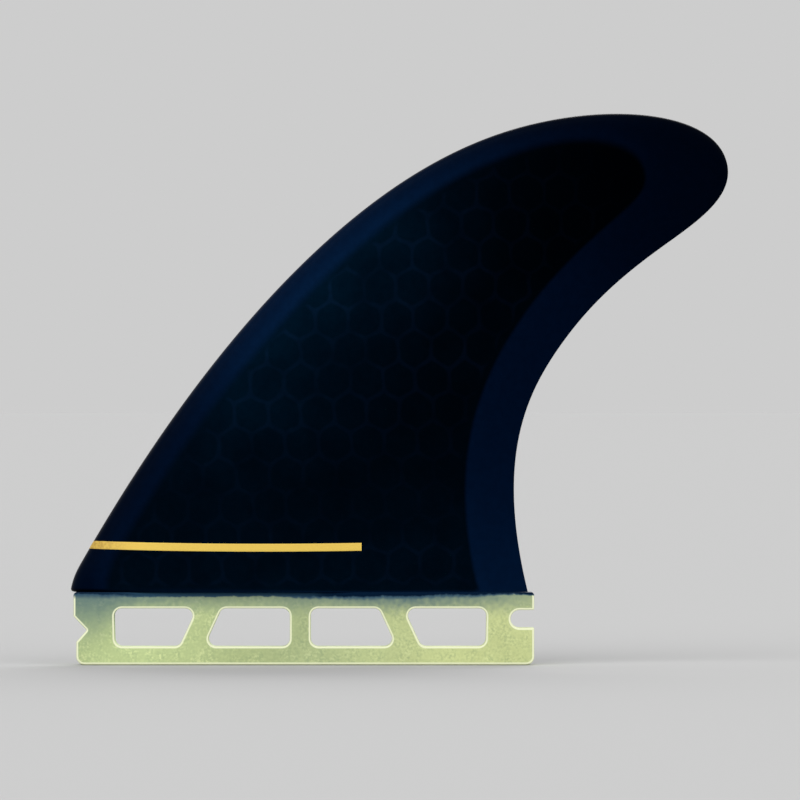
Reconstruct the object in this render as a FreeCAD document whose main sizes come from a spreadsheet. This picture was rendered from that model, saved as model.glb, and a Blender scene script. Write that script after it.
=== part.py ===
import FreeCAD, Part

import math
import os

import Sketcher

# A raked side fin for a surfboard: a moulded glass-fibre blade over a honeycomb sheet, on the
# long base tab that drops into the board's fin box. X runs from the leading edge back to the
# trailing edge, Y across the fin, with the curved outer face towards -Y and the flat inner
# face towards +Y, and Z from the foot of the tab up to the tip. The origin is the middle of
# the tab's foot. Lengths are millimetres and angles are degrees.

dimensions = {
    # Base tab: a flat plank of bare glass fibre, as deep as the fin box
    "tab_length": 115.0,
    "tab_depth": 18.1,
    "tab_thickness": 6.8,
    "tab_toe_setback": 0.7,  # the front end stands back by this much below the notch
    "tab_foot_radius": 2.0,
    "tab_top_radius": 0.8,
    "tab_foot_chamfer": 0.4,
    # V notch in the front end, where the box's set screw bears
    "notch_top": 12.1,
    "notch_apex_height": 8.65,
    "notch_low": 5.7,
    "notch_depth": 3.3,
    # Slot open to the rear end, which hooks under the pin across the box
    "slot_floor": 9.2,
    "slot_height": 4.5,
    "slot_depth": 5.9,
    # Four windows in the tab, two and two about the middle web
    "window_floor": 4.6,
    "window_height": 9.5,
    "window_centre_ahead": 0.9,  # the middle web stands this far ahead of the tab's middle
    "window_middle_web": 5.2,
    "window_slanted_web": 6.2,
    "inner_window_length": 17.0,  # along its upper edge
    "window_end_wall": 10.1,  # from the tab's front end to the first window, along its upper edge
    "window_slant": 4.4,  # how far a slanted side runs outwards from top to bottom
    "window_end_slant": 0.2,  # how far a window's outer end leans in towards the bottom
    "window_corner_radius": 1.9,
    # Blade: five stations fan round from the board to the tip. Each has the place of its nose,
    # its chord, how far the chord tilts down to the rear, and its thickness.
    "root_nose_ahead": 59.9,
    "root_chord": 115.9,
    "root_thickness": 8.2,
    "lower_sweep": 23.0,
    "lower_rise": 41.8,
    "lower_chord": 85.4,
    "lower_tilt": 6.2,
    "lower_thickness": 7.6,
    "middle_sweep": 68.0,
    "middle_rise": 98.0,
    "middle_chord": 63.9,
    "middle_tilt": 31.6,
    "middle_thickness": 6.2,
    "upper_sweep": 124.1,
    "upper_rise": 124.2,
    "upper_chord": 44.8,
    "upper_tilt": 57.9,
    "upper_thickness": 4.8,
    "end_sweep": 161.0,
    "end_rise": 118.9,
    "end_chord": 21.0,
    "end_tilt": 66.9,
    "end_thickness": 3.2,
    "edge_thickness": 0.8,  # the blunt edge all the way round the blade
    "inner_edge_radius": 0.5,  # between that edge and the flat inner face
    "front_corner_radius": 2.0,  # where the leading edge meets the board
    # Honeycomb sheet sealed in the blade
    "core_thickness": 1.8,
    "core_inner_skin": 0.6,  # laminate between the sheet and the flat inner face
    "core_lift": 1.8,  # above the underside of the blade
    "core_front_rim": 7.1,
    "core_rear_rim": 12.5,
    "core_tip_rim": 20.5,
    "core_end_width": 10.2,
    "core_end_shift": 5.6,  # the sheet's blunt end lies this far towards the leading edge
    "core_border": 1.2,  # closes the cells that the sheet's edge cuts through
    "cell_pitch": 8.24,
    "cell_row_pitch": 7.68,
    "cell_wall": 1.0,
    "cell_tilt": 1.37,
    "cell_start_x": 28.1,  # the middle of one cell, which sets where all the others fall
    "cell_start_rise": 45.4,
    # Gold stripe let into the outer face, round the leading edge
    "stripe_rise": 11.1,  # from the underside of the blade to the middle of the stripe's tail
    "stripe_width": 2.2,
    "stripe_tail": 14.5,  # how far behind the tab's middle it ends
    "stripe_depth": 0.25,
    "stripe_tilt": 0.4,  # down towards the tail
}

doc = FreeCAD.newDocument("surfboard_fin")
sheet = doc.addObject("Spreadsheet::Sheet", "sizes")
for row, (name, value) in enumerate(dimensions.items(), start=1):
    sheet.set(f"A{row}", name.replace("_", " "))
    sheet.set(f"B{row}", str(value))
    sheet.setAlias(f"B{row}", name)
doc.recompute()


def size(name):
    return float(sheet.get(name))


nearly = 1e-6  # two places closer than this are the same


# Base tab

def origin_plane(body, role):
    return next(item for item in body.Origin.OriginFeatures if item.Role == role)


def bind_distance(sketch, axis, geometry, point, expression):
    """Hold a point of the sketch at an expression's distance from the sketch's origin."""
    if expression == "0":
        own_axis = -2 if axis == "DistanceX" else -1
        sketch.addConstraint(Sketcher.Constraint("PointOnObject", geometry, point, own_axis))
        return
    place = sketch.getPoint(geometry, point)
    start = place.x if axis == "DistanceX" else place.y
    index = sketch.addConstraint(Sketcher.Constraint(axis, -1, 1, geometry, point, start))
    sketch.setExpression(f"Constraints[{index}]", expression)


def add_polygon(sketch, corners):
    """Draw a closed outline whose corners are pairs of expressions on the sheet."""
    places = [FreeCAD.Vector(sketch.evalExpression(x), sketch.evalExpression(y), 0) for x, y in corners]
    lines = []
    for start, end in zip(places, places[1:] + places[:1]):
        lines.append(sketch.addGeometry(Part.LineSegment(start, end), False))
    for line, after in zip(lines, lines[1:] + lines[:1]):
        sketch.addConstraint(Sketcher.Constraint("Coincident", line, 2, after, 1))
    for line, (x, y) in zip(lines, corners):
        bind_distance(sketch, "DistanceX", line, 1, x)
        bind_distance(sketch, "DistanceY", line, 1, y)


def side_sketch(body, name):
    """A sketch seen from the fin's outer side, with its own X along X and its Y along Z."""
    sketch = body.newObject("Sketcher::SketchObject", name)
    sketch.AttachmentSupport = [(origin_plane(body, "XZ_Plane"), "")]
    sketch.MapMode = "FlatFace"
    return sketch


def through_pocket(body, name, sketch):
    """Cut a sketch right through the tab, both ways from its middle plane."""
    pocket = body.newObject("PartDesign::Pocket", name)
    pocket.Profile = sketch
    pocket.SideType = "Symmetric"
    pocket.setExpression("Length", "2 * sizes.tab_thickness")
    return pocket


def edges_across(shape, reach, low_z, high_z):
    """Names of the edges straight across the tab, within a reach of its middle and two heights."""
    names = []
    for index, edge in enumerate(shape.Edges, start=1):
        middle = edge.CenterOfMass
        straight_across = abs(edge.tangentAt(edge.FirstParameter).y) > 1 - nearly
        if straight_across and abs(middle.x) < reach and low_z < middle.z < high_z:
            names.append(f"Edge{index}")
    return names


def round_edges(body, name, feature, edges, radius):
    fillet = body.newObject("PartDesign::Fillet", name)
    fillet.Base = (feature, edges)
    fillet.setExpression("Radius", radius)
    doc.recompute()
    return fillet


def build_tab():
    body = doc.addObject("PartDesign::Body", "base_tab")
    front = "-sizes.tab_length / 2"
    rear = "sizes.tab_length / 2"
    toe = "-sizes.tab_length / 2 + sizes.tab_toe_setback"

    outline = side_sketch(body, "tab_outline")
    add_polygon(outline, [
        (toe, "0"),
        (rear, "0"),
        (rear, "sizes.tab_depth"),
        (front, "sizes.tab_depth"),
        (front, "sizes.notch_top"),
        ("-sizes.tab_length / 2 + sizes.notch_depth", "sizes.notch_apex_height"),
        (toe, "sizes.notch_low"),
    ])
    plank = body.newObject("PartDesign::Pad", "tab_plank")
    plank.Profile = outline
    plank.SideType = "Symmetric"
    plank.setExpression("Length", "sizes.tab_thickness")
    doc.recompute()

    # The pin slot is a U: two flats and a round end, open to the rear
    slot = side_sketch(body, "slot_outline")
    radius = size("slot_height") / 2
    middle = size("slot_floor") + radius
    mouth = size("tab_length") / 2
    round_x = mouth - size("slot_depth") + radius
    top = slot.addGeometry(Part.LineSegment(
        FreeCAD.Vector(mouth, middle + radius, 0), FreeCAD.Vector(round_x, middle + radius, 0)))
    end = slot.addGeometry(Part.ArcOfCircle(
        Part.Circle(FreeCAD.Vector(round_x, middle, 0), FreeCAD.Vector(0, 0, 1), radius),
        math.pi / 2, 3 * math.pi / 2))
    bottom = slot.addGeometry(Part.LineSegment(
        FreeCAD.Vector(round_x, middle - radius, 0), FreeCAD.Vector(mouth, middle - radius, 0)))
    opening = slot.addGeometry(Part.LineSegment(
        FreeCAD.Vector(mouth, middle - radius, 0), FreeCAD.Vector(mouth, middle + radius, 0)))
    slot.addConstraint(Sketcher.Constraint("Tangent", top, 2, end, 1))
    slot.addConstraint(Sketcher.Constraint("Tangent", end, 2, bottom, 1))
    slot.addConstraint(Sketcher.Constraint("Coincident", bottom, 2, opening, 1))
    slot.addConstraint(Sketcher.Constraint("Coincident", opening, 2, top, 1))
    slot.addConstraint(Sketcher.Constraint("Horizontal", top))
    slot.addConstraint(Sketcher.Constraint("Horizontal", bottom))
    bind_distance(slot, "DistanceY", end, 3, "sizes.slot_floor + sizes.slot_height / 2")
    bind_distance(
        slot, "DistanceX", end, 3, "sizes.tab_length / 2 - sizes.slot_depth + sizes.slot_height / 2")
    bind_distance(slot, "DistanceX", opening, 1, "sizes.tab_length / 2")
    height = slot.addConstraint(Sketcher.Constraint("Radius", end, radius))
    slot.setExpression(f"Constraints[{height}]", "sizes.slot_height / 2")
    through_pocket(body, "pin_slot", slot)
    doc.recompute()

    # The windows ahead of the middle web, then the same two mirrored behind it
    windows = side_sketch(body, "window_outlines")
    windows.setExpression("AttachmentOffset.Base.x", "-sizes.window_centre_ahead")
    doc.recompute()
    floor = "sizes.window_floor"
    ceiling = "sizes.window_floor + sizes.window_height"
    inner_near = "-sizes.window_middle_web / 2"
    inner_far = f"{inner_near} - sizes.inner_window_length"
    outer_near = f"{inner_far} - sizes.window_slanted_web"
    outer_far = "-sizes.tab_length / 2 + sizes.window_end_wall + sizes.window_centre_ahead"
    add_polygon(windows, [
        (inner_near, floor),
        (inner_near, ceiling),
        (inner_far, ceiling),
        (f"{inner_far} - sizes.window_slant", floor),
    ])
    add_polygon(windows, [
        (f"{outer_near} - sizes.window_slant", floor),
        (outer_near, ceiling),
        (outer_far, ceiling),
        (f"{outer_far} + sizes.window_end_slant", floor),
    ])
    window_pair = through_pocket(body, "window_pair", windows)
    doc.recompute()
    mirrored = body.newObject("PartDesign::Mirrored", "window_set")
    mirrored.Originals = [window_pair]
    mirrored.MirrorPlane = (windows, ["V_Axis"])
    body.Tip = mirrored
    doc.recompute()

    # Rounded corners: inside the windows, at the foot and under the blade's two ends
    length = size("tab_length")
    depth = size("tab_depth")
    between_ends = length / 2 - max(size("notch_depth"), size("slot_depth"))
    corners = edges_across(mirrored.Shape, between_ends, 0, depth)
    rounded = round_edges(body, "window_corners", mirrored, corners, "sizes.window_corner_radius")
    below_windows = size("window_floor") / 2
    corners = edges_across(rounded.Shape, length, -below_windows, below_windows)
    rounded = round_edges(body, "foot_corners", rounded, corners, "sizes.tab_foot_radius")
    near_top = size("tab_top_radius")
    corners = edges_across(rounded.Shape, length, depth - near_top, depth + near_top)
    rounded = round_edges(body, "top_corners", rounded, corners, "sizes.tab_top_radius")

    # The foot's long edges are broken so that the tab finds its way into the box
    chamfer = body.newObject("PartDesign::Chamfer", "foot_chamfer")
    foot = next(index for index, face in enumerate(rounded.Shape.Faces, start=1)
                if abs(face.CenterOfMass.z) < nearly)
    chamfer.Base = (rounded, [f"Face{foot}"])
    chamfer.setExpression("Size", "sizes.tab_foot_chamfer")
    doc.recompute()
    return body


# Blade

# The aerofoil as control points: how far along the chord, and how high as a share of the
# thickness over the edge. The first two stand upright, which makes the nose round.
foil_section = [(0, 0), (0, 0.34), (0.08, 0.80), (0.32, 1.09), (0.62, 0.86), (0.85, 0.38), (1, 0)]

board_z = size("tab_depth")
inner_y = size("tab_thickness") / 2
across = FreeCAD.Vector(0, -1, 0)  # from the flat inner face towards the curved outer face


def blade_stations():
    """The nose, the tail and the thickness of each station from the board to the tip."""
    root_x = -size("root_nose_ahead")
    noses = [FreeCAD.Vector(root_x, inner_y, board_z)]
    tails = [noses[0] + FreeCAD.Vector(size("root_chord"), 0, 0)]
    thicknesses = [size("root_thickness")]
    for station in ("lower", "middle", "upper", "end"):
        nose = FreeCAD.Vector(root_x + size(f"{station}_sweep"), inner_y, board_z + size(f"{station}_rise"))
        tilt = math.radians(size(f"{station}_tilt"))
        chord = FreeCAD.Vector(math.cos(tilt), 0, -math.sin(tilt)) * size(f"{station}_chord")
        noses.append(nose)
        tails.append(nose + chord)
        thicknesses.append(size(f"{station}_thickness"))
    return noses, tails, thicknesses


def closed_ends(noses, tails):
    """Add the point halfway across the last station, where both edges run out square to it."""
    tip = (noses[-1] + tails[-1]) / 2
    return noses + [tip], tails + [tip]


def clamped_knots(count):
    """Even knots for a cubic through its first and last control points."""
    inner = count - 4
    return list(range(inner + 2)), [4] + [1] * inner + [4]


def smooth_edge(points):
    knots, multiplicities = clamped_knots(len(points))
    curve = Part.BSplineCurve()
    curve.buildFromPolesMultsKnots(points, multiplicities, knots, False, 3)
    return curve.toShape()


def solid_from(faces):
    shell = Part.makeShell(faces)
    shell.sewShape()
    solid = Part.makeSolid(shell)
    if solid.Volume < 0:
        solid.reverse()
    return solid


def inner_edges(solid):
    """The two long edges of the flat inner face, which leave the board and meet at the tip."""
    edges = []
    for edge in solid.Edges:
        middle = edge.valueAt((edge.FirstParameter + edge.LastParameter) / 2)
        if abs(middle.y - inner_y) < nearly and middle.z > board_z + nearly:
            edges.append(edge)
    return edges


def build_foil():
    """The whole blade as one lofted solid: flat inside, an aerofoil outside, blunt all round."""
    noses, tails, thicknesses = blade_stations()
    edge = size("edge_thickness")
    crowns = [thickness - edge for thickness in thicknesses] + [0]
    noses, tails = closed_ends(noses, tails)
    rim = across * edge

    net = []
    for along, height in foil_section:
        net.append([nose + (tail - nose) * along + rim + across * (crown * height)
                    for nose, tail, crown in zip(noses, tails, crowns)])
    chord_knots, chord_multiplicities = clamped_knots(len(foil_section))
    span_knots, span_multiplicities = clamped_knots(len(noses))
    surface = Part.BSplineSurface()
    surface.buildFromPolesMultsKnots(
        net, chord_multiplicities, span_multiplicities, chord_knots, span_knots, False, False, 3, 3)

    leading = smooth_edge(noses)
    trailing = smooth_edge(tails)
    base = Part.makeLine(noses[0], tails[0])
    inner_face = Part.Face(Part.Wire([leading, trailing, base]))
    leading_land = leading.extrude(rim)
    trailing_land = trailing.extrude(rim)
    root_edge = smooth_edge([column[0] for column in net])
    root_face = Part.Face(Part.Wire([
        base,
        Part.makeLine(noses[0], noses[0] + rim),
        root_edge,
        Part.makeLine(tails[0] + rim, tails[0]),
    ]))
    solid = solid_from([surface.toShape(), inner_face, leading_land, trailing_land, root_face])
    foil = doc.addObject("Part::Feature", "foil")
    foil.Shape = solid.makeFillet(size("inner_edge_radius"), inner_edges(solid))
    return foil


def extrusion(name, face, length):
    """Thicken a face that lies on the blade's inner side, outwards by a size on the sheet."""
    solid = doc.addObject("Part::Extrusion", name)
    solid.Base = face
    solid.DirMode = "Custom"
    solid.Dir = across
    solid.Solid = True
    solid.setExpression("LengthFwd", length)
    return solid


def cut(name, base, tool):
    result = doc.addObject("Part::Cut", name)
    result.Base = base
    result.Tool = tool
    return result


# Honeycomb sheet

def inset_points(points, distance, side):
    """Push an edge's control points in by a distance, square to the lines that join them."""
    legs = [(end - start).normalize() for start, end in zip(points, points[1:])]
    inset = [points[0] + FreeCAD.Vector(side * distance / legs[0].z, 0, 0)]
    for point, before, after in zip(points[1:-1], legs, legs[1:]):
        run = (before + after) / 2
        inward = FreeCAD.Vector(side * run.z, 0, -side * run.x)
        inset.append(point + inward * (distance / run.Length ** 2))
    return inset


def core_outline(border):
    """The sheet's outline, a border further in, from the same stations as the blade's own."""
    noses, tails, _ = blade_stations()
    tip = (noses[-1] + tails[-1]) / 2
    down_chord = (tails[-1] - noses[-1]).normalize()
    outward = FreeCAD.Vector(-down_chord.z, 0, down_chord.x)
    end = tip - outward * (size("core_tip_rim") + border) - down_chord * size("core_end_shift")
    half_end = down_chord * (size("core_end_width") / 2 - border)

    leading = inset_points(noses + [tip], size("core_front_rim") + border, 1)[:-1]
    trailing = inset_points(tails + [tip], size("core_rear_rim") + border, -1)[:-1]
    leading, trailing = closed_ends(leading + [end - half_end], trailing + [end + half_end])
    edges = [smooth_edge(leading), smooth_edge(trailing), Part.makeLine(leading[0], trailing[0])]
    whole = Part.Face(Part.Wire(edges))
    reach = whole.BoundBox
    spare = size("core_lift")
    above = Part.makePlane(
        reach.XLength + 2 * spare, reach.ZLength + spare,
        FreeCAD.Vector(reach.XMin - spare, inner_y, board_z + size("core_lift") + border),
        across, FreeCAD.Vector(1, 0, 0))
    return whole.common(above).Faces[0]


def cell_outline(middle):
    """A cell's opening: the hexagon that lies nearer its middle than its neighbours', less a wall."""
    pitch = size("cell_pitch")
    row_pitch = size("cell_row_pitch")
    peak = (row_pitch ** 2 + (pitch / 2) ** 2) / (2 * row_pitch)
    shoulder = (row_pitch ** 2 - (pitch / 2) ** 2) / (2 * row_pitch)
    half = pitch / 2
    right = [(0, peak), (half, shoulder), (half, -shoulder)]
    corners = right + [(-x, -z) for x, z in right]
    open_share = (pitch - size("cell_wall")) / pitch
    tilt = FreeCAD.Rotation(FreeCAD.Vector(0, -1, 0), size("cell_tilt"))
    points = [middle + tilt.multVec(FreeCAD.Vector(x, 0, z) * open_share) for x, z in corners]
    return Part.makePolygon(points + points[:1])


def cell_middles(reach):
    """Middles of the staggered cells that can touch a bounding box."""
    pitch = size("cell_pitch")
    row_pitch = size("cell_row_pitch")
    tilt = FreeCAD.Rotation(FreeCAD.Vector(0, -1, 0), size("cell_tilt"))
    start = FreeCAD.Vector(size("cell_start_x"), inner_y, board_z + size("cell_start_rise"))
    widest = reach.DiagonalLength + pitch
    for row in range(-int(widest / row_pitch), int(widest / row_pitch) + 1):
        stagger = 0.5 * (row % 2)
        for column in range(-int(widest / pitch), int(widest / pitch) + 1):
            step = FreeCAD.Vector((column + stagger) * pitch, 0, row * row_pitch)
            middle = start + tilt.multVec(step)
            if (reach.XMin - pitch < middle.x < reach.XMax + pitch
                    and reach.ZMin - pitch < middle.z < reach.ZMax + pitch):
                yield middle


def build_core():
    """The sheet, with its cells open right through, and the recess that the blade seals it in."""
    smallest_share = 0.2  # a cell that the border leaves less of than this stays solid
    outline = core_outline(0)
    field = core_outline(size("core_border"))
    openings = []
    for middle in cell_middles(field.BoundBox):
        cell = cell_outline(middle)
        corners_in = [field.isInside(corner.Point, nearly, True) for corner in cell.Vertexes]
        if all(corners_in):
            openings.append(cell)
        elif any(corners_in):
            whole = Part.Face(cell)
            for piece in field.common(whole).Faces:
                if piece.Area > smallest_share * whole.Area:
                    openings.append(piece.OuterWire)

    depth = across * size("core_inner_skin")
    recess_face = doc.addObject("Part::Feature", "recess_face")
    recess_face.Shape = outline
    recess_face.Placement = FreeCAD.Placement(depth, FreeCAD.Rotation())
    core_face = doc.addObject("Part::Feature", "core_face")
    core_face.Shape = Part.makeFace([outline.OuterWire] + openings, "Part::FaceMakerBullseye")
    core_face.Placement = FreeCAD.Placement(depth, FreeCAD.Rotation())
    recess = extrusion("core_recess", recess_face, "sizes.core_thickness")
    core = extrusion("honeycomb_core", core_face, "sizes.core_thickness")
    return core, recess


# Gold stripe

def build_stripe(foil):
    """The blade's own skin inside a level band: what is left when the foil is pushed inwards."""
    band = doc.addObject("Part::Box", "stripe_band")
    band.setExpression("Length", "sizes.root_nose_ahead + sizes.stripe_tail")
    band.setExpression("Width", "4 * sizes.root_thickness")
    band.setExpression("Height", "sizes.stripe_width")
    forwards = FreeCAD.Rotation(FreeCAD.Vector(0, 0, 1), 180)
    tilt = FreeCAD.Rotation(FreeCAD.Vector(0, 1, 0), size("stripe_tilt"))
    band.Placement.Rotation = tilt.multiply(forwards)
    band.setExpression("Placement.Base.x", "sizes.stripe_tail")
    band.setExpression("Placement.Base.y", "2 * sizes.root_thickness")
    band.setExpression("Placement.Base.z", "sizes.tab_depth + sizes.stripe_rise - sizes.stripe_width / 2")

    skin = doc.addObject("Part::Common", "stripe_blank")
    skin.Base = foil
    skin.Tool = band
    pushed = doc.addObject("Part::Feature", "foil_under_stripe")
    pushed.Shape = foil.Shape
    depth = size("stripe_depth")
    pushed.Placement = FreeCAD.Placement(FreeCAD.Vector(depth, depth, 0), FreeCAD.Rotation())
    return cut("gold_stripe", skin, pushed)


def build_corner_waste():
    """What is taken off to round the corner where the leading edge meets the board."""
    slope = "atan(sizes.lower_rise / sizes.lower_sweep)"
    run = f"sizes.front_corner_radius / tan({slope} / 2)"
    height = f"sizes.front_corner_radius * (1 + cos({slope}))"
    block = doc.addObject("Part::Box", "corner_block")
    block.setExpression("Length", f"{run} + sizes.front_corner_radius")
    block.setExpression("Width", "4 * sizes.root_thickness")
    block.setExpression("Height", f"{height} + sizes.front_corner_radius")
    block.setExpression("Placement.Base.x", "-sizes.root_nose_ahead - sizes.front_corner_radius")
    block.setExpression("Placement.Base.y", "-2 * sizes.root_thickness")
    block.setExpression("Placement.Base.z", "sizes.tab_depth - sizes.front_corner_radius")
    round_end = doc.addObject("Part::Cylinder", "corner_round")
    round_end.setExpression("Radius", "sizes.front_corner_radius")
    round_end.setExpression("Height", "8 * sizes.root_thickness")
    round_end.Placement.Rotation = FreeCAD.Rotation(FreeCAD.Vector(1, 0, 0), 90)
    round_end.setExpression("Placement.Base.x", f"-sizes.root_nose_ahead + {run}")
    round_end.setExpression("Placement.Base.y", "4 * sizes.root_thickness")
    round_end.setExpression("Placement.Base.z", "sizes.tab_depth + sizes.front_corner_radius")
    return cut("corner_waste", block, round_end)


def check_built(objects):
    """Stop if any object of the document has failed, or a sub-part has no sound shape."""
    for item in doc.Objects:
        if "Invalid" in item.State or "Error" in item.State:
            raise RuntimeError(f"{item.Name} failed to build")
    for item in objects:
        if item.Shape.isNull() or not item.Shape.isValid():
            raise RuntimeError(f"{item.Label} has no valid shape")


base_tab = build_tab()
foil = build_foil()
honeycomb_core, core_recess = build_core()
gold_stripe = build_stripe(foil)
corner_waste = build_corner_waste()
blade_inlaid = cut("blade_inlaid", foil, gold_stripe)
blade_cornered = cut("blade_cornered", blade_inlaid, corner_waste)
blade = cut("blade", blade_cornered, core_recess)
doc.recompute()

sub_parts = {
    "blade": blade,
    "honeycomb_core": honeycomb_core,
    "base_tab": base_tab,
    "gold_stripe": gold_stripe,
}
for label, item in sub_parts.items():
    item.Label = label
check_built(sub_parts.values())

os.makedirs("parts", exist_ok=True)
for label, item in sub_parts.items():
    item.Shape.exportStep(f"parts/{label}.step")
    solids = item.Shape.Solids
    print(f"{label}: {len(solids)} solid, {sum(solid.Volume for solid in solids) / 1000:.2f} cm3")
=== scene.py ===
import math

import bmesh
import bpy
import numpy as np
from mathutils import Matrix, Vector
from mathutils.geometry import tessellate_polygon


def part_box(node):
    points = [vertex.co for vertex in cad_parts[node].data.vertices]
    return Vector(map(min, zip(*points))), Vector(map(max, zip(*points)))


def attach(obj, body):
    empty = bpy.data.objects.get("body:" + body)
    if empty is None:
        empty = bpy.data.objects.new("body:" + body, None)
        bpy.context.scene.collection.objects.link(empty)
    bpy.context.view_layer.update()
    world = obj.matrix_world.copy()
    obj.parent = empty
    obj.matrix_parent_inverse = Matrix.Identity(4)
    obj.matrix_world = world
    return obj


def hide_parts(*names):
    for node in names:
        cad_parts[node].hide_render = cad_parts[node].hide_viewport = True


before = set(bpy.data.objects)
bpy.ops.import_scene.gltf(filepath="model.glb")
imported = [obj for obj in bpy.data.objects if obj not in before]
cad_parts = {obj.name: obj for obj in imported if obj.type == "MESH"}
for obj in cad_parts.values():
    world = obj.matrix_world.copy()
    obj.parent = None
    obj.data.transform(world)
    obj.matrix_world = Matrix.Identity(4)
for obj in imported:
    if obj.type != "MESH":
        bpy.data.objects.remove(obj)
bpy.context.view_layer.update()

# A raked side fin for a surfboard. X runs from the leading edge back, Y from the curved outer
# face to the flat inner face, and Z from the foot of the tab up. Shapes are worked out in mm.

mm = 0.001
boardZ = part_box("blade")[0].z / mm     # the blade's underside lies on the board
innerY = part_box("blade")[1].y / mm     # the flat inner face
print("frame loaded")


# Shared helpers

splineDegree = 3
lastShare = 1 - 1e-12    # just short of the last knot, so that the last span holds it
leastSquare = 1e-9       # keeps a side of no length from dividing
weldDistance = 5e-8      # m


def splineWeights(count, t):
    # Weights of a cubic spline's control points, one column each. The knots are even and
    # clamped at both ends, and each weight grows from two of one degree less.
    spans = count - splineDegree
    clamp = np.zeros(splineDegree)
    knots = np.concatenate([clamp, np.arange(spans + 1), clamp + spans]) / spans
    t = np.clip(np.asarray(t, float), 0, lastShare)[..., None]
    weights = ((knots[:-1] <= t) & (t < knots[1:])).astype(float)
    for degree in range(1, splineDegree + 1):
        left = knots[:count + splineDegree - degree]
        right = knots[degree + 1:]
        leftSpan = knots[degree:-1] - left
        rightSpan = right - knots[1:len(right) + 1]
        shape = t.shape[:-1] + left.shape
        rising = np.divide(t - left, leftSpan, out=np.zeros(shape), where=leftSpan > 0)
        falling = np.divide(right - t, rightSpan, out=np.zeros(shape), where=rightSpan > 0)
        weights = rising * weights[..., :-1] + falling * weights[..., 1:]
    return weights


def smoothStep(value):
    # From 0 to 1 with level ends: three times the square less twice the cube
    value = np.clip(value, 0, 1)
    return value * value * (3 - 2 * value)


def unit(vectors):
    # Each vector over its own length
    return vectors / np.linalg.norm(vectors, axis=-1, keepdims=True)


def gridFaces(rows, columns, closed):
    # Quads between neighbours of a grid numbered row by row. A closed one joins its last column
    # to its first.
    index = np.arange(rows * columns).reshape(rows, columns)
    if closed:
        index = np.concatenate([index, index[:, :1]], axis=1)
    corners = [index[:-1, :-1], index[:-1, 1:], index[1:, 1:], index[1:, :-1]]
    return np.stack(corners, axis=-1).reshape(-1, 4).tolist()


def makePiece(name, points, faces, creaseAngle, attributes=None):
    # A closed mesh from points in mm: doubles welded, faces outwards, and smooth up to the crease
    # angle, in degrees
    mesh = bpy.data.meshes.new(name)
    mesh.from_pydata((points * mm).tolist(), [], faces)
    for label, values in (attributes or {}).items():
        layer = mesh.attributes.new(label, "FLOAT", "POINT")
        layer.data.foreach_set("value", values.astype(np.float32))
    work = bmesh.new()
    work.from_mesh(mesh)
    bmesh.ops.remove_doubles(work, verts=work.verts, dist=weldDistance)
    bmesh.ops.recalc_face_normals(work, faces=work.faces)
    work.to_mesh(mesh)
    work.free()
    mesh.shade_smooth()
    mesh.set_sharp_from_angle(angle=math.radians(creaseAngle))
    piece = bpy.data.objects.new(name, mesh)
    bpy.context.scene.collection.objects.link(piece)
    return piece


def linear(hexColour):
    # An sRGB hex colour as linear light: a dark part is divided by 12.92, and any other is moved
    # up by 0.055, divided by 1.055 and raised to the power of 2.4
    parts = np.array([int(hexColour[i:i + 2], 16) for i in (1, 3, 5)]) / 255
    parts = np.where(parts <= 0.04045, parts / 12.92, ((parts + 0.055) / 1.055) ** 2.4)
    return (*parts.tolist(), 1.0)


def addNode(tree, kind, settings=None, links=None):
    # Adds a node with its settings, and sets or links its inputs, which are named, or else taken
    # in the order of those in use. A node given as a value is linked by its first output in use.
    node = tree.nodes.new(kind)
    for label, value in (settings or {}).items():
        if label == "stops":
            points = node.mapping.curves[0].points
            points[0].location, points[1].location = value[0], value[-1]
            for stop in value[1:-1]:
                points.new(*stop)
            node.mapping.update()
        else:
            setattr(node, label, value)
    if not isinstance(links, dict):
        inUse = [number for number, socket in enumerate(node.inputs) if socket.enabled]
        links = dict(zip(inUse, links or ()))
    for key, value in links.items():
        if isinstance(value, bpy.types.Node):
            value = next(output for output in value.outputs if output.enabled)
        if isinstance(value, bpy.types.NodeSocket):
            tree.links.new(value, node.inputs[key])
        else:
            node.inputs[key].default_value = value
    return node


# Kinds of node that come often, each with its settings
plus, minus, times, over, timesPlus, absolute, wrapped, below, greater, softLesser = (
    ("ShaderNodeMath", {"operation": name}) for name in (
        "ADD", "SUBTRACT", "MULTIPLY", "DIVIDE", "MULTIPLY_ADD", "ABSOLUTE", "WRAP", "LESS_THAN",
        "MAXIMUM", "SMOOTH_MIN"))
colourMix, colourTimes, colourSum = (
    ("ShaderNodeMix", {"data_type": "RGBA", "blend_type": name}) for name in ("MIX", "MULTIPLY", "ADD"))
eased = ("ShaderNodeMapRange", {"interpolation_type": "SMOOTHSTEP"})
noise = ("ShaderNodeTexNoise", {"noise_dimensions": "3D"})
noiseMiddle = 0.5        # every noise swings about this


def startMaterial(name):
    material = bpy.data.materials.new(name)
    material.use_nodes = True
    material.node_tree.nodes.clear()
    return material, material.node_tree


# Blade

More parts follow.
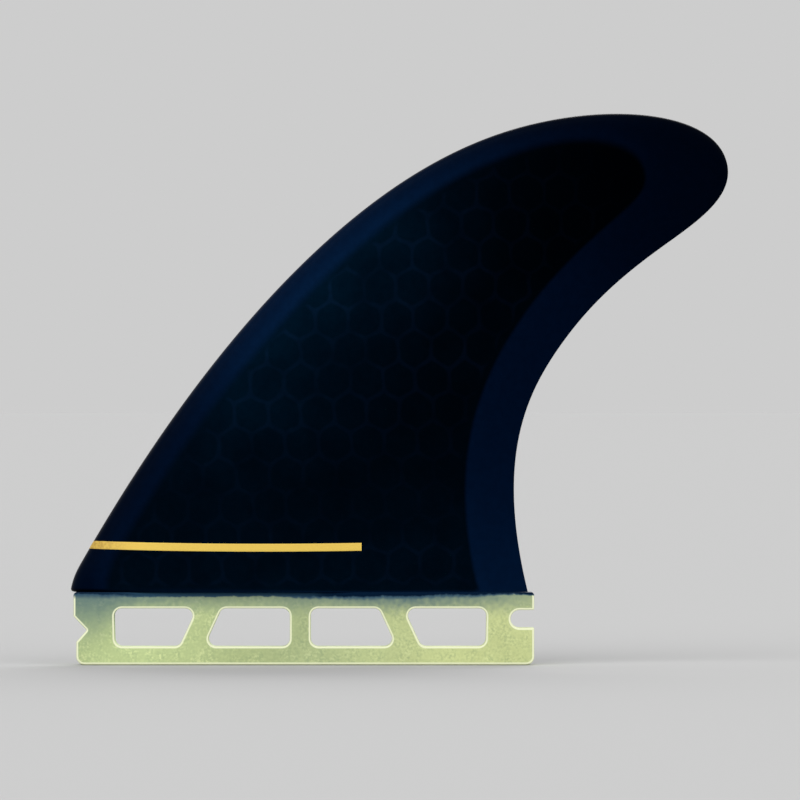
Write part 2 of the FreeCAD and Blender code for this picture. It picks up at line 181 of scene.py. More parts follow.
bladeForm = {
    "rootNoseX": -59.9,
    # nose behind the root's, rise, chord, tilt down to the rear in degrees, thickness
    "stations": np.array([
        (0.0, 0.0, 115.9, 0.0, 8.2),
        (23.0, 41.8, 85.4, 6.2, 7.6),
        (68.0, 98.0, 63.9, 31.6, 6.2),
        (124.1, 124.2, 44.8, 57.9, 4.8),
        (161.0, 118.9, 21.0, 66.9, 3.2),
    ]),
    # along the chord, and height as a share of the thickness over the edge
    "section": np.array([
        (0, 0), (0, 0.34), (0.08, 0.80), (0.32, 1.09), (0.62, 0.86), (0.85, 0.38), (1, 0),
    ]),
    "edgeThickness": 0.8,
    "innerEdgeRadius": 0.5,
    "curlHeight": 6.6,       # below this the leading edge curls down to a small round corner
    "curlRadius": 15.4,
    "cornerRadius": 0.8,
    "levelHeight": 4.0,      # below this the rounding of the edges turns level with the board
    "rows": 240,
    "evenRows": 0.07,        # share of the rows' spacing that is even: the rest is closer at both ends
    "outerColumns": 130,
    "innerColumns": 100,
    "roundSteps": 5,
    "creaseAngle": 40,
    "depthBatches": 12,      # the points are measured in this many batches, to save memory
}

sweeps, rises, chords, tilts, thicknesses = bladeForm["stations"].T
downChords = np.stack([np.cos(np.radians(tilts)), -np.sin(np.radians(tilts))], axis=1)
stationNoses = np.stack([bladeForm["rootNoseX"] + sweeps, boardZ + rises], axis=1)
stationTails = stationNoses + chords[:, None] * downChords
bladeTip = (stationNoses[-1] + stationTails[-1]) / 2
stationCrowns = np.append(thicknesses - bladeForm["edgeThickness"], 0)


def bladeCurves(t):
    # Nose, tail and crown of the blade's section at a share t of the way from board to tip,
    # each a cubic spline of the stations. Near the board the nose moves back by the square of
    # its way under the curl over twice the curl's radius. It keeps behind a round corner, which
    # touches the board and the slant of the edge there.
    weights = splineWeights(len(stationNoses) + 1, t)
    nose = weights @ np.vstack([stationNoses, bladeTip])
    tail = weights @ np.vstack([stationTails, bladeTip])
    crown = weights @ stationCrowns
    radius, curl, curlRadius = (bladeForm[name] for name in ("cornerRadius", "curlHeight", "curlRadius"))
    rise = nose[..., 1] - boardZ
    nose[..., 0] += np.maximum(curl - rise, 0) ** 2 / (2 * curlRadius)
    slant = math.atan2(1, sweeps[1] / rises[1] - curl / curlRadius)
    centreX = bladeForm["rootNoseX"] + curl ** 2 / (2 * curlRadius) + radius / math.tan(slant / 2)
    overCentre = rise - radius
    cornerX = centreX - np.sqrt(np.maximum(radius ** 2 - overCentre ** 2, 0))
    inCorner = (overCentre < radius * math.cos(slant)) & (cornerX > nose[..., 0])
    nose[..., 0] = np.where(inCorner, cornerX, nose[..., 0])
    return nose, tail, crown


def sectionCurve(u):
    # How far along the chord and how high the outer face is, at a share u of the way round it
    return np.moveaxis(splineWeights(len(bladeForm["section"]), u) @ bladeForm["section"], -1, 0)


# Where the honeycomb sheet shows through the blade, with the widths of the rims round it
coreForm = {
    "frontRim": 7.1,
    "rearRim": 12.5,
    "tipRim": 20.5,
    "endWidth": 10.2,
    "endShift": 5.6,         # its blunt end lies this far towards the leading edge
    "curlHeight": 10.0,      # below this its front edge curls back
    "curlRadius": 17.0,
    "lift": 0.65,            # above the board
    "outlinePoints": 110,
}


def coreOutline():
    # The outline that shows of the honeycomb sheet: the stations pushed in square to the edge,
    # and a blunt end. Its front moves back over the foot as the blade's nose does.
    def pushedIn(points, distance, side):
        # Each point goes in along the mitre of the two legs beside it, and the first along the board
        legs = unit(np.diff(points, axis=0))
        run = (legs[:-1] + legs[1:]) / 2
        inward = side * np.stack([run[:, 1], -run[:, 0]], axis=1) / (run ** 2).sum(1, keepdims=True)
        first = points[:1] + [[side * distance / legs[0, 1], 0]]
        return np.concatenate([first, points[1:-1] + inward * distance])[:-1]

    downChord = downChords[-1]
    outward = np.array([-downChord[1], downChord[0]])
    end = bladeTip - outward * coreForm["tipRim"] - downChord * coreForm["endShift"]
    halfEnd = downChord * coreForm["endWidth"] / 2
    leading = pushedIn(np.vstack([stationNoses, bladeTip]), coreForm["frontRim"], 1)
    leading = np.vstack([leading, end - halfEnd, end])
    trailing = pushedIn(np.vstack([stationTails, bladeTip]), coreForm["rearRim"], -1)
    trailing = np.vstack([trailing, end + halfEnd, end])
    weights = splineWeights(len(leading), np.linspace(0, 1, coreForm["outlinePoints"]))
    front = weights @ leading
    underCurl = np.maximum(coreForm["curlHeight"] + boardZ - front[:, 1], 0)
    front[:, 0] += underCurl ** 2 / (2 * coreForm["curlRadius"])
    outline = np.concatenate([front, (weights @ trailing)[-2::-1]])
    outline[:, 1] = np.maximum(outline[:, 1], boardZ + coreForm["lift"])
    return outline


def depthInside(points, outline):
    # How far each point lies inside an outline, less than nothing outside: the distance to the
    # nearest side, with its sign from how many sides a line out to the right crosses
    start = outline
    side = np.roll(outline, -1, axis=0) - start
    offset = points[:, None] - start
    along = np.clip((offset * side).sum(-1) / np.maximum((side ** 2).sum(-1), leastSquare), 0, 1)
    distance = np.linalg.norm(offset - along[..., None] * side, axis=-1).min(axis=1)
    above = offset[..., 1] < 0
    crossed = above != (offset[..., 1] - side[:, 1] < 0)
    rise = np.where(side[:, 1] == 0, 1, side[:, 1])
    toTheRight = offset[..., 0] < side[:, 0] * offset[..., 1] / rise
    inside = (crossed & toTheRight).sum(axis=1) % 2 == 1
    return np.where(inside, distance, -distance)


def buildBlade():
    # One closed loop for each row from board to tip: the outer face from nose to tail, the
    # blunt rear edge, the flat inner face back to the front, and the front edge. Each point also
    # gets how far it lies inside the core's outline, and its shares of the chord and the height.
    form = bladeForm
    edge, radius = form["edgeThickness"], form["innerEdgeRadius"]
    even = np.linspace(0, 1, form["rows"])
    t = form["evenRows"] * even + (1 - form["evenRows"]) * smoothStep(even)
    nose, tail, crown = bladeCurves(t)
    chordShare, height = sectionCurve(np.linspace(0, 1, form["outerColumns"]))
    outer = nose[:, None] + (tail - nose)[:, None] * chordShare[:, None]
    outerY = innerY - edge - crown[:, None] * height

    # The edges are rounded square to the outline, and level with the board at its foot
    chordWay = unit(np.vstack([(tail - nose)[:-1], (tail - nose)[-2:-1]]))
    upright = smoothStep((nose[:, 1:] - boardZ) / form["levelHeight"])
    frontRun = unit(np.gradient(nose, axis=0))
    rearRun = unit(np.gradient(tail, axis=0))
    frontIn = np.stack([frontRun[:, 1], -frontRun[:, 0]], axis=1)
    frontIn = unit(upright * frontIn + (1 - upright) * chordWay)
    rearIn = np.stack([-rearRun[:, 1], rearRun[:, 0]], axis=1)
    rearIn = unit(upright * rearIn - (1 - upright) * chordWay)
    rearIn[-1] = frontIn[-1]
    turn = np.linspace(0, math.pi / 2, form["roundSteps"])
    inset = radius * (1 - np.cos(turn))
    roundY = innerY - radius + radius * np.sin(turn)
    front = nose[:, None] + frontIn[:, None] * inset[:, None]
    rear = tail[:, None] + rearIn[:, None] * inset[:, None]
    across = np.linspace(1, 0, form["innerColumns"])[1:-1]
    inner = front[:, -1:] + (rear[:, -1:] - front[:, -1:]) * across[:, None]

    flat = np.concatenate([outer, rear, inner, front[:, ::-1]], axis=1)
    rows, columns = flat.shape[:2]
    depths = np.concatenate([
        outerY,
        np.broadcast_to(roundY, (rows, len(roundY))),
        np.full((rows, len(across)), innerY),
        np.broadcast_to(roundY[::-1], (rows, len(roundY))),
    ], axis=1)
    points = np.stack([flat[..., 0], depths, flat[..., 1]], axis=-1).reshape(-1, 3)
    points = np.clip(points, *(np.array(corner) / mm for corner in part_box("blade")))  # in the solid's box
    shares = np.concatenate([chordShare, np.ones(len(turn)), across, np.zeros(len(turn))])
    faces = gridFaces(rows, columns, True)
    faces.append(list(range(columns)))  # the underside, on the board
    outline = coreOutline()
    batches = np.array_split(points[:, [0, 2]], form["depthBatches"])
    return makePiece("blade_skin", points, faces, form["creaseAngle"], {
        "coreDepth": np.concatenate([depthInside(batch, outline) for batch in batches]),
        "chordShare": np.tile(shares, rows),
        "heightShare": np.repeat(t, columns),
    })


bladeSkin = buildBlade()
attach(bladeSkin, "root")
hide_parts("blade")
print("blade built")


# Gold stripe

stripeForm = {
    "rise": 11.36,       # from the board to the middle of the stripe's tail
    "width": 1.95,
    "tailX": 14.4,
    "tilt": -0.94,       # degrees at the tail, up towards the front
    "bendRadius": 1467,  # it bends up by this towards the front
    "film": 0.03,        # how far it stands over the laminate
    "bedded": 0.22,      # and how far it goes in
    "flatness": 8,       # the film's height falls from its middle by this power of the share across
    "columns": 110,
    "widthSteps": 13,
    "landSteps": 4,      # rows on the blunt front edge, the last of them on the outer face
    "creaseAngle": 50,
    # the search for its place: samples of the section, the first guesses of the share of the
    # height and of the chord, the nudge that finds each slope, and the rounds
    "samples": 4001,
    "firstHeight": 0.03,
    "firstChord": 0.6,
    "nudge": 1e-5,
    "heightRounds": 8,
    "chordRounds": 4,
}


def buildStripe():
    # The part of the outer face inside a band, raised by a film that thins out at its two long
    # sides, and carried round the nose onto the front edge. The band's middle line climbs by its
    # slope times the way from the tail, and by that way's square over twice the bend's radius.
    form = stripeForm
    acrossShare = np.linspace(-1, 1, form["widthSteps"])
    samples = np.linspace(0, 1, form["samples"])
    chordSamples, heightSamples = sectionCurve(samples)
    slope = math.tan(math.radians(form["tilt"]))
    tail = np.array([form["tailX"], boardZ + form["rise"]])

    def onBlade(chord, offset):
        # The blade's height share at which a point this far along the chord is in the band: each
        # round takes off the miss over its slope
        nudge = form["nudge"]
        t = np.full(np.broadcast(chord, offset).shape, form["firstHeight"])
        for _ in range(form["heightRounds"]):
            miss = []
            for step in (0, nudge):
                nose, tailEnd, _ = bladeCurves(t + step)
                place = nose + (tailEnd - nose) * chord[..., None]
                ahead = tail[0] - place[..., 0]
                climb = ahead * slope + ahead ** 2 / (2 * form["bendRadius"])
                miss.append(place[..., 1] - tail[1] - climb - offset)
            t = t - miss[0] * nudge / (miss[1] - miss[0])
        return t

    offset = acrossShare * form["width"] / 2
    endChord = np.full(offset.shape, form["firstChord"])
    for _ in range(form["chordRounds"]):
        nose, tailEnd, _ = bladeCurves(onBlade(endChord, offset))
        reached = nose[:, 0] + (tailEnd - nose)[:, 0] * endChord
        endChord = endChord + (tail[0] - reached) / (tailEnd - nose)[:, 0]

    along = np.linspace(0, 1, form["columns"]) ** 2  # closer at the round nose
    chord = along[:, None] * endChord
    t = onBlade(chord, offset)
    nose, tailEnd, crown = bladeCurves(t)
    place = nose + (tailEnd - nose) * chord[..., None]
    height = np.interp(np.interp(chord, chordSamples, samples), samples, heightSamples)
    depth = innerY - bladeForm["edgeThickness"] - crown * height
    surface = np.stack([place[..., 0], depth, place[..., 1]], axis=-1)
    landEnds = innerY - bladeForm["innerEdgeRadius"], innerY - bladeForm["edgeThickness"]
    landY = np.linspace(*landEnds, form["landSteps"])[:-1]
    land = np.repeat(surface[:1], len(landY), axis=0)
    land[..., 1] = landY[:, None]
    surface = np.concatenate([land, surface])

    alongWay = np.gradient(surface, axis=0)
    acrossWay = np.gradient(surface, axis=1)
    outward = unit(np.cross(acrossWay, alongWay))
    outward = outward * np.where(outward[-1, 0, 1] > 0, -1, 1)
    film = form["film"] * (1 - np.abs(acrossShare) ** form["flatness"])
    top = surface + outward * film[:, None]
    under = (surface - outward * form["bedded"])[:, ::-1]
    loops = np.concatenate([top, under], axis=1)
    rows, columns = loops.shape[:2]
    faces = gridFaces(rows, columns, True)
    faces += [list(range(columns)), list(range((rows - 1) * columns, rows * columns))]
    return makePiece("stripe_film", loops.reshape(-1, 3), faces, form["creaseAngle"])


stripeFilm = buildStripe()
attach(stripeFilm, "root")
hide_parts("gold_stripe")
print("stripe built")


# Base tab

tabForm = {
    "length": 115.0,
    "depth": 18.1,
    "thickness": 6.8,
    "toeSetback": 0.7,
    "footRadius": 2.0,
    "topRadius": 0.8,
    "notchTop": 12.1,
    "notchApex": 8.65,
    "notchLow": 5.7,
    "notchDepth": 3.3,
    "slotFloor": 9.2,
    "slotHeight": 4.5,
    "slotDepth": 5.9,
    "windowFloor": 4.6,
    "windowHeight": 9.5,
    "centreAhead": 0.9,      # the middle web stands this far ahead of the tab's middle
    "middleWeb": 5.2,
    "slantedWeb": 6.2,
    "innerLength": 17.0,     # of an inner window, along its upper edge
    "endWall": 10.1,         # from the tab's front end to the first window, along its upper edge
    "slant": 4.4,            # how far a slanted side runs outwards from top to bottom
    "endSlant": 0.2,         # how far a window's outer end leans in towards the bottom
    "windowRadius": 1.9,
    "smallRadius": 0.3,
    "edgeRound": 0.3,
    "footEdgeRound": 0.4,
    "rimWidth": 0.35,        # the band of painted highlight on the cheeks, beside the rounded edges
    "arcSteps": 10,
    "edgeSteps": 5,
    "creaseAngle": 30,
}


def roundedOutline(corners, radii, steps):
    # A closed outline with its corners rounded, and its way in, to its left, at each point. Each
    # corner is an arc whose normal turns evenly from that of one side to that of the next. It can
    # go in along the normals by the radius, and from there on along the mitre of its two sides.
    corners = np.array(corners, float)
    radii = np.array(radii, float)[:, None]
    before = unit(corners - np.roll(corners, 1, axis=0))
    after = np.roll(before, -1, axis=0)
    crossed = before[:, 0] * after[:, 1] - before[:, 1] * after[:, 0]
    turn = np.arctan2(crossed, (before * after).sum(1))[:, None]
    share = np.linspace(0, 1, steps)
    angle = np.arctan2(before[:, :1], -before[:, 1:]) + turn * share
    normal = np.stack([np.cos(angle), np.sin(angle)], axis=-1)
    start = corners - before * radii * np.tan(np.abs(turn) / 2)
    hand = np.sign(turn)
    centre = start + hand * radii * normal[:, 0]
    points = centre[:, None] - (hand * radii)[:, None] * normal
    mitre = (normal[:, 0] + normal[:, -1]) / (1 + (normal[:, 0] * normal[:, -1]).sum(1, keepdims=True))
    limit = np.where(hand > 0, radii, np.inf)
    mitre, limit = (np.repeat(values, steps, axis=0) for values in (mitre, limit))
    return points.reshape(-1, 2), normal.reshape(-1, 2), mitre, limit


def tabOutlines():
    # The tab's own outline anticlockwise, and its four windows clockwise
    form = tabForm
    front, rear = -form["length"] / 2, form["length"] / 2
    toe = front + form["toeSetback"]
    slotTop = form["slotFloor"] + form["slotHeight"]
    small = form["smallRadius"]
    corners = [
        ((toe, 0), form["footRadius"]),
        ((rear, 0), form["footRadius"]),
        ((rear, form["slotFloor"]), small),
        ((rear - form["slotDepth"], form["slotFloor"]), form["slotHeight"] / 2),
        ((rear - form["slotDepth"], slotTop), form["slotHeight"] / 2),
        ((rear, slotTop), small),
        ((rear, form["depth"]), form["topRadius"]),
        ((front, form["depth"]), form["topRadius"]),
        ((front, form["notchTop"]), small),
        ((front + form["notchDepth"], form["notchApex"]), small),
        ((toe, form["notchLow"]), small),
    ]
    outlines = [roundedOutline(*zip(*corners), form["arcSteps"])]
    floor, ceiling = form["windowFloor"], form["windowFloor"] + form["windowHeight"]
    innerNear = form["middleWeb"] / 2
    innerFar = innerNear + form["innerLength"]
    outerNear = innerFar + form["slantedWeb"]
    outerFar = form["length"] / 2 - form["endWall"] - form["centreAhead"]
    windows = [
        [(innerNear, floor), (innerNear, ceiling), (innerFar, ceiling), (innerFar + form["slant"], floor)],
        [(outerNear + form["slant"], floor), (outerNear, ceiling), (outerFar, ceiling),
         (outerFar - form["endSlant"], floor)],
    ]
    for window in windows:
        for side in (1, -1):
            ring = [(side * x - form["centreAhead"], z) for x, z in window][::side]
            outlines.append(roundedOutline(ring, [form["windowRadius"]] * 4, form["arcSteps"]))
    return outlines


def buildTab():
    # Each outline carries a profile across the tab: a rim on the cheek, a rounded edge, the
    # wall, and the same back. The two cheeks are filled between the rims of all the outlines.
    # A highlight is painted along the rounded edges: it falls from the cheek's edge to nothing at the wall
    # and at the rim.
    form = tabForm
    half = form["thickness"] / 2
    turn = np.linspace(0, math.pi / 2, form["edgeSteps"])
    paleness = np.concatenate([[0], np.cos(turn), np.sin(turn), [0]])
    points, faces, rims, innerCheek, outerCheek, first = [], [], [], [], [], 0
    for outline, inward, mitre, limit in tabOutlines():
        foot = 1 - smoothStep(outline[:, 1] / form["footRadius"])
        edgeRound = (form["edgeRound"] + (form["footEdgeRound"] - form["edgeRound"]) * foot)[:, None]
        falling, growing = edgeRound * (1 - np.sin(turn)), edgeRound * (1 - np.cos(turn))
        rim = edgeRound + form["rimWidth"]
        inset = np.concatenate([rim, falling, growing, rim], axis=1)
        depth = np.concatenate([half + 0 * rim, half - growing, falling - half, 0 * rim - half], axis=1)
        flat = (outline[:, None] + inward[:, None] * np.minimum(inset, limit)[..., None]
                + mitre[:, None] * np.maximum(inset - limit, 0)[..., None])
        ring = np.stack([flat[..., 0], depth, flat[..., 1]], axis=-1)
        rows, columns = ring.shape[:2]
        index = np.arange(rows * columns).reshape(rows, columns) + first
        index = np.concatenate([index, index[:1]])
        corners = [index[:-1, :-1], index[1:, :-1], index[1:, 1:], index[:-1, 1:]]
        faces += np.stack(corners, axis=-1).reshape(-1, 4).tolist()
        rims.append([Vector((x, z, 0)) for x, z in flat[:, 0]])
        innerCheek.append(index[:-1, 0])
        outerCheek.append(index[:-1, -1])
        points.append(ring.reshape(-1, 3))
        first += rows * columns
    triangles = np.array(tessellate_polygon(rims))
    for cheek in (innerCheek, outerCheek):
        faces += np.concatenate(cheek)[triangles].tolist()
    points = np.concatenate(points)
    return makePiece("tab_moulding", points, faces, form["creaseAngle"], {
        "paleness": np.tile(paleness, len(points) // len(paleness)),
    })


tabMoulding = buildTab()
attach(tabMoulding, "root")
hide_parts("base_tab")
print("tab built")


# Navy laminate: navy-pigmented resin over glass cloth, moulded and polished. The eye sees a
# deep navy with a soft gloss, lighter where the laminate is solid, and the walls of the
# honeycomb just showing through it. A sheen is painted over it, brightest a quarter of the way
# up the front and darkening to near black at the tip.

laminateLook = {
    "deep": "#011634",       # the solid laminate's colour where its painted sheen is least
    "navyInSheen": "#041934",     # and where it is most
    "overCore": "#021e32",
    "overWall": "#0c1832",   # over a wall of the honeycomb
    "gloss": "#0a2a50",
    "roughness": 0.25,
    "specular": 0.08,        # a resin's is 0.5, and the photograph shows a fainter gloss
    # a painted sheen: how much of that colour shows, by share of the height from board to tip
    "frontRim": [(0, 0.4), (0.09, 0.38), (0.16, 0.62), (0.27, 1), (0.36, 0.93), (0.45, 0.68), (0.55, 0.43),
                 (0.65, 0.25), (0.75, 0.2), (0.88, 0.13), (1, 0.08)],
    "rearRim": [(0, 0.95), (0.08, 0.52), (0.16, 0.42), (0.45, 0.32), (0.6, 0.21), (0.75, 0.16),
                (0.88, 0.13), (1, 0.08)],
    "frontCore": [(0, 0.24), (0.025, 0.17), (0.08, 0.17), (0.16, 0.35), (0.26, 0.44), (0.36, 0.35),
                  (0.45, 0.16), (0.55, 0.065), (0.68, 0.018), (1, 0.01)],
    "rearCore": [(0, 0.26), (0.02, 0.18), (0.1, 0.11), (0.2, 0.075), (0.3, 0.078), (0.5, 0.03),
                 (0.7, 0.014), (1, 0.01)],
    # and how much of its colour a wall of the honeycomb adds, following the same painted sheen
    "frontWall": [(0, 0.08), (0.035, 0.07), (0.06, 0.05), (0.13, 0.13), (0.25, 0.205), (0.36, 0.18),
                  (0.45, 0.095), (0.55, 0.052), (0.65, 0.016), (0.75, 0.003), (1, 0)],
    "rearWall": [(0, 0.09), (0.035, 0.07), (0.06, 0.035), (0.13, 0.045), (0.25, 0.075), (0.36, 0.058),
                 (0.45, 0.048), (0.55, 0.03), (0.65, 0.009), (0.75, 0.002), (1, 0)],
    "frontToRear": (0.0, 0.68),      # shares of the chord
    "rimFade": (0.68, 0.95),         # how much of the rim's painted sheen is left at the front and rear edge, beside the core
    "rimFadeDepth": (-5.5, -1.5),    # mm into the core
    "footShade": 0.2,                # painted shade under the front corner: the share of the rim's painted sheen left there
    "footShadeChord": (0.1, 0.2),    # where it ends, in shares of the chord and of the height
    "footShadeHeight": (0.001, 0.003),
    "coreGrowth": 0.1,               # mm, by which the core shows wider than its outline
    # the honeycomb, in mm and degrees
    "cellPitch": 8.24,
    "rowPitch": 7.68,
    "cellWall": 0.8,
    "wallFull": 0.1,         # share of the wall that shows in full
    "cellRound": 1.8,
    "cellWander": 1.6,       # how far the noise that bends the walls would take them
    "cellTilt": 1.37,
    "cellX": 28.1,
    "cellZ": 45.4,           # over the board
    # noises: the width of a lump in mm, and how many times finer ones are laid over it
    "noises": {
        "wander": (5.882, 1.0),      # the pull on the sheet's walls, about a cell wide
        "cloud": (55.56, 2.0),       # resin that pools over the sheet
        "blotch": (10.53, 2.0),      # where the skin has wetted the sheet more or less
        "grain": (1.667, 3.0),       # the bundles of the glass cloth
        "ripple": (3.846, 1.0),      # the waves that moulding leaves
    },
    # eased ranges: where each starts and ends, and its value at both
    "wallByBlotch": (0.3, 0.65, 0.35, 1.25),
    "wallByDepth": (0.3, 2.0, 0.0, 1.0),     # mm into the core
    "coreByCloud": (0.3, 0.7, 0.9, 1.1),
    "coreByBlotch": (0.3, 0.7, 0.85, 1.15),
    "coreSoftness": (0.25, 0.6, 1.4, 0.6),   # mm, by share of the chord
    "colourByGrain": (0.3, 0.7, 0.93, 1.07),
    # relief: shares of the bump's depth, its strength, and its depth in mm
    "rippleHeight": 0.3,
    "wallHeight": 0.5,
    "bump": 0.05,
    "bumpDepth": 0.2,
}


def wallDistance(tree, place, wander):
    # How far each place is from the middle of the nearest wall of the honeycomb, in mm. A noise
    # bends the lattice, which is then laid level with its rows. Each place is taken to its
    # nearest cell in the even rows and in the odd rows, and the wall is where the two nearest
    # cells are equally far.
    look = laminateLook
    wander = addNode(tree, "ShaderNodeVectorMath", {"operation": "SUBTRACT"},
                     [wander.outputs["Color"], (noiseMiddle,) * 3])
    bent = addNode(tree, "ShaderNodeVectorMath", {"operation": "MULTIPLY_ADD"},
                   [wander, (look["cellWander"] * mm,) * 3, place])
    turned = addNode(tree, "ShaderNodeMapping", {"vector_type": "TEXTURE"}, {
        "Vector": bent,
        "Location": (look["cellX"] * mm, 0, (boardZ + look["cellZ"]) * mm),
        "Rotation": (0, -math.radians(look["cellTilt"]), 0),
        "Scale": (mm, mm, mm),
    })
    split = addNode(tree, "ShaderNodeSeparateXYZ", None, [turned])
    halfPitch, rowPitch = look["cellPitch"] / 2, look["rowPitch"]
    sideways, squares = [], []
    for shiftX, shiftZ in ((0.0, 0.0), (halfPitch, rowPitch)):
        x = addNode(tree, *plus, [split.outputs["X"], shiftX])
        x = addNode(tree, *wrapped, [x, halfPitch, -halfPitch])
        z = addNode(tree, *plus, [split.outputs["Z"], shiftZ])
        z = addNode(tree, *wrapped, [z, rowPitch, -rowPitch])
        sideways.append(addNode(tree, *absolute, [x]))
        across = addNode(tree, *times, [x, x])
        squares.append(addNode(tree, *timesPlus, [z, z, across]))
    inEvenRow = addNode(tree, *below, squares)
    nearX = addNode(tree, "ShaderNodeMix", None, [inEvenRow, sideways[1], sideways[0]])
    toSide = addNode(tree, *minus, [halfPitch, nearX])
    apart = addNode(tree, *absolute, [addNode(tree, *minus, squares)])
    toSlant = addNode(tree, *over, [apart, 2 * math.hypot(halfPitch, rowPitch)])
    return addNode(tree, *softLesser, [toSide, toSlant, look["cellRound"]])


def navyLaminate():
    look = laminateLook
    material, tree = startMaterial("navy_resin_laminate_moulded")
    place = addNode(tree, "ShaderNodeTexCoord").outputs["Object"]
    coreDepth, chordShare, heightShare = (
        addNode(tree, "ShaderNodeAttribute", {"attribute_name": name}).outputs["Fac"]
        for name in ("coreDepth", "chordShare", "heightShare"))
    noises = {name: addNode(tree, *noise, {"Vector": place, "Scale": 1 / (width * mm), "Detail": detail})
              for name, (width, detail) in look["noises"].items()}

    # How plainly a wall shows: it fades away from its middle, in some blotches and by the rim
    toWall = wallDistance(tree, place, noises["wander"])
    wallWidths = look["cellWall"] * look["wallFull"], look["cellWall"]
    wall = addNode(tree, *eased, [toWall, *wallWidths, 1.0, 0.0])
    for value, name in ((noises["blotch"], "wallByBlotch"), (coreDepth, "wallByDepth")):
        faded = addNode(tree, *eased, [value, *look[name]])
        wall = addNode(tree, *times, [wall, faded])

    # The painted sheen on the rim, on the core and on its walls, from front to rear
    sheenCurves = {name: addNode(tree, "ShaderNodeFloatCurve", {"stops": look[name]}, {"Value": heightShare})
              for name in ("frontRim", "rearRim", "frontCore", "rearCore", "frontWall", "rearWall")}
    toRear = addNode(tree, *eased, [chordShare, *look["frontToRear"]])
    rimSheenAndShade, coreSheenAndTone, wallSheenAndShow = (
        addNode(tree, "ShaderNodeMix", None, [toRear, sheenCurves["front" + name], sheenCurves["rear" + name]])
        for name in ("Rim", "Core", "Wall"))
    # The rim's painted sheen fades at the front and rear edges, and painted shade darkens it under the
    # front corner
    sheenEdgeFade = addNode(tree, "ShaderNodeMix", None, [toRear, *look["rimFade"]])
    sheenEdgeFade = addNode(tree, *eased, [coreDepth, *look["rimFadeDepth"], sheenEdgeFade, 1.0])
    corner = addNode(tree, *eased, [chordShare, *look["footShadeChord"], look["footShade"], 1.0])
    corner = addNode(tree, *eased, [heightShare, *look["footShadeHeight"], corner, 1.0])
    for shade in (sheenEdgeFade, corner):
        rimSheenAndShade = addNode(tree, *times, [rimSheenAndShade, shade])
    for value, name in ((noises["cloud"], "coreByCloud"), (noises["blotch"], "coreByBlotch")):
        varied = addNode(tree, *eased, [value, *look[name]])
        coreSheenAndTone = addNode(tree, *times, [coreSheenAndTone, varied])
    wallSheenAndShow = addNode(tree, *times, [wallSheenAndShow, wall])

    # The colours, each scaled by its painted sheen: the rim's, and inside the core's soft edge the core's
    # and its walls' together
    # The rim's colour runs from its shaded to its lit copy with the painted sheen
    rim = addNode(tree, *colourMix, [rimSheenAndShade, linear(look["deep"]), linear(look["navyInSheen"])])
    rim, overCore, overWall = (
        addNode(tree, *colourTimes, [1.0, colour, level]) for colour, level in (
            (rim, rimSheenAndShade), (linear(look["overCore"]), coreSheenAndTone), (linear(look["overWall"]), wallSheenAndShow)))
    overCore = addNode(tree, *colourSum, [1.0, overCore, overWall])
    softness = addNode(tree, *eased, [chordShare, *look["coreSoftness"]])
    wobble = addNode(tree, *plus, [noises["cloud"], look["coreGrowth"]])
    wobbled = addNode(tree, *plus, [wobble, coreDepth])
    outside = addNode(tree, *times, [softness, -1.0])
    inCore = addNode(tree, *eased, [wobbled, outside, softness])
    colour = addNode(tree, *colourMix, [inCore, rim, overCore])
    grained = addNode(tree, *eased, [noises["grain"], *look["colourByGrain"]])
    colour = addNode(tree, *colourTimes, [1.0, colour, grained])

    ripple = addNode(tree, *times, [noises["ripple"], look["rippleHeight"]])
    relief = addNode(tree, *timesPlus, [wall, look["wallHeight"], ripple])
    bump = addNode(tree, "ShaderNodeBump", None, {
        "Height": relief,
        "Strength": look["bump"],
        "Distance": look["bumpDepth"] * mm,
    })
    surface = addNode(tree, "ShaderNodeBsdfPrincipled", None, {
        "Base Color": colour,
        "Roughness": look["roughness"],
        "Specular IOR Level": look["specular"],
        "Specular Tint": linear(look["gloss"]),
        "Normal": bump,
    })
    addNode(tree, "ShaderNodeOutputMaterial", None, {"Surface": surface})
    return material


bladeSkin.data.materials.append(navyLaminate())


# Gold foil: thin metallised foil under clear gloss, rubbed on. The eye sees a warm, even,
# slightly satin gold with fine rolling lines along it, browner and darker where it bends round
# the nose: worn there, with shade painted over the wear.

foilLook = {
    "gold": "#f1cf5d",
    "shade": "#e5bf53",
    "wornAndShaded": "#9c7430",
    "wornAndShadedRange": (-41.0, -53.5),     # mm, where the foil wears thin and painted shade darkens it as it bends round the nose
    "wearAndShade": 0.5,
    "speckle": 0.6667,               # mm, the width of a worn fleck
    "speckleRange": (0.35, 0.65, 0.6, 1.4),  # eased: where it starts and ends, and its value at both
    "lineWidth": 0.12,               # mm: real ones are finer, and these are coarse enough to show
    "lineLength": 25.0,              # mm
    "detail": 2.0,
    "bump": 0.12,
    "bumpDepth": 0.05,               # mm
    "metal": 0.06,                   # low: the photograph's foil mirrors nothing round it
    "roughness": 0.5,
    "specular": 0.3,
}


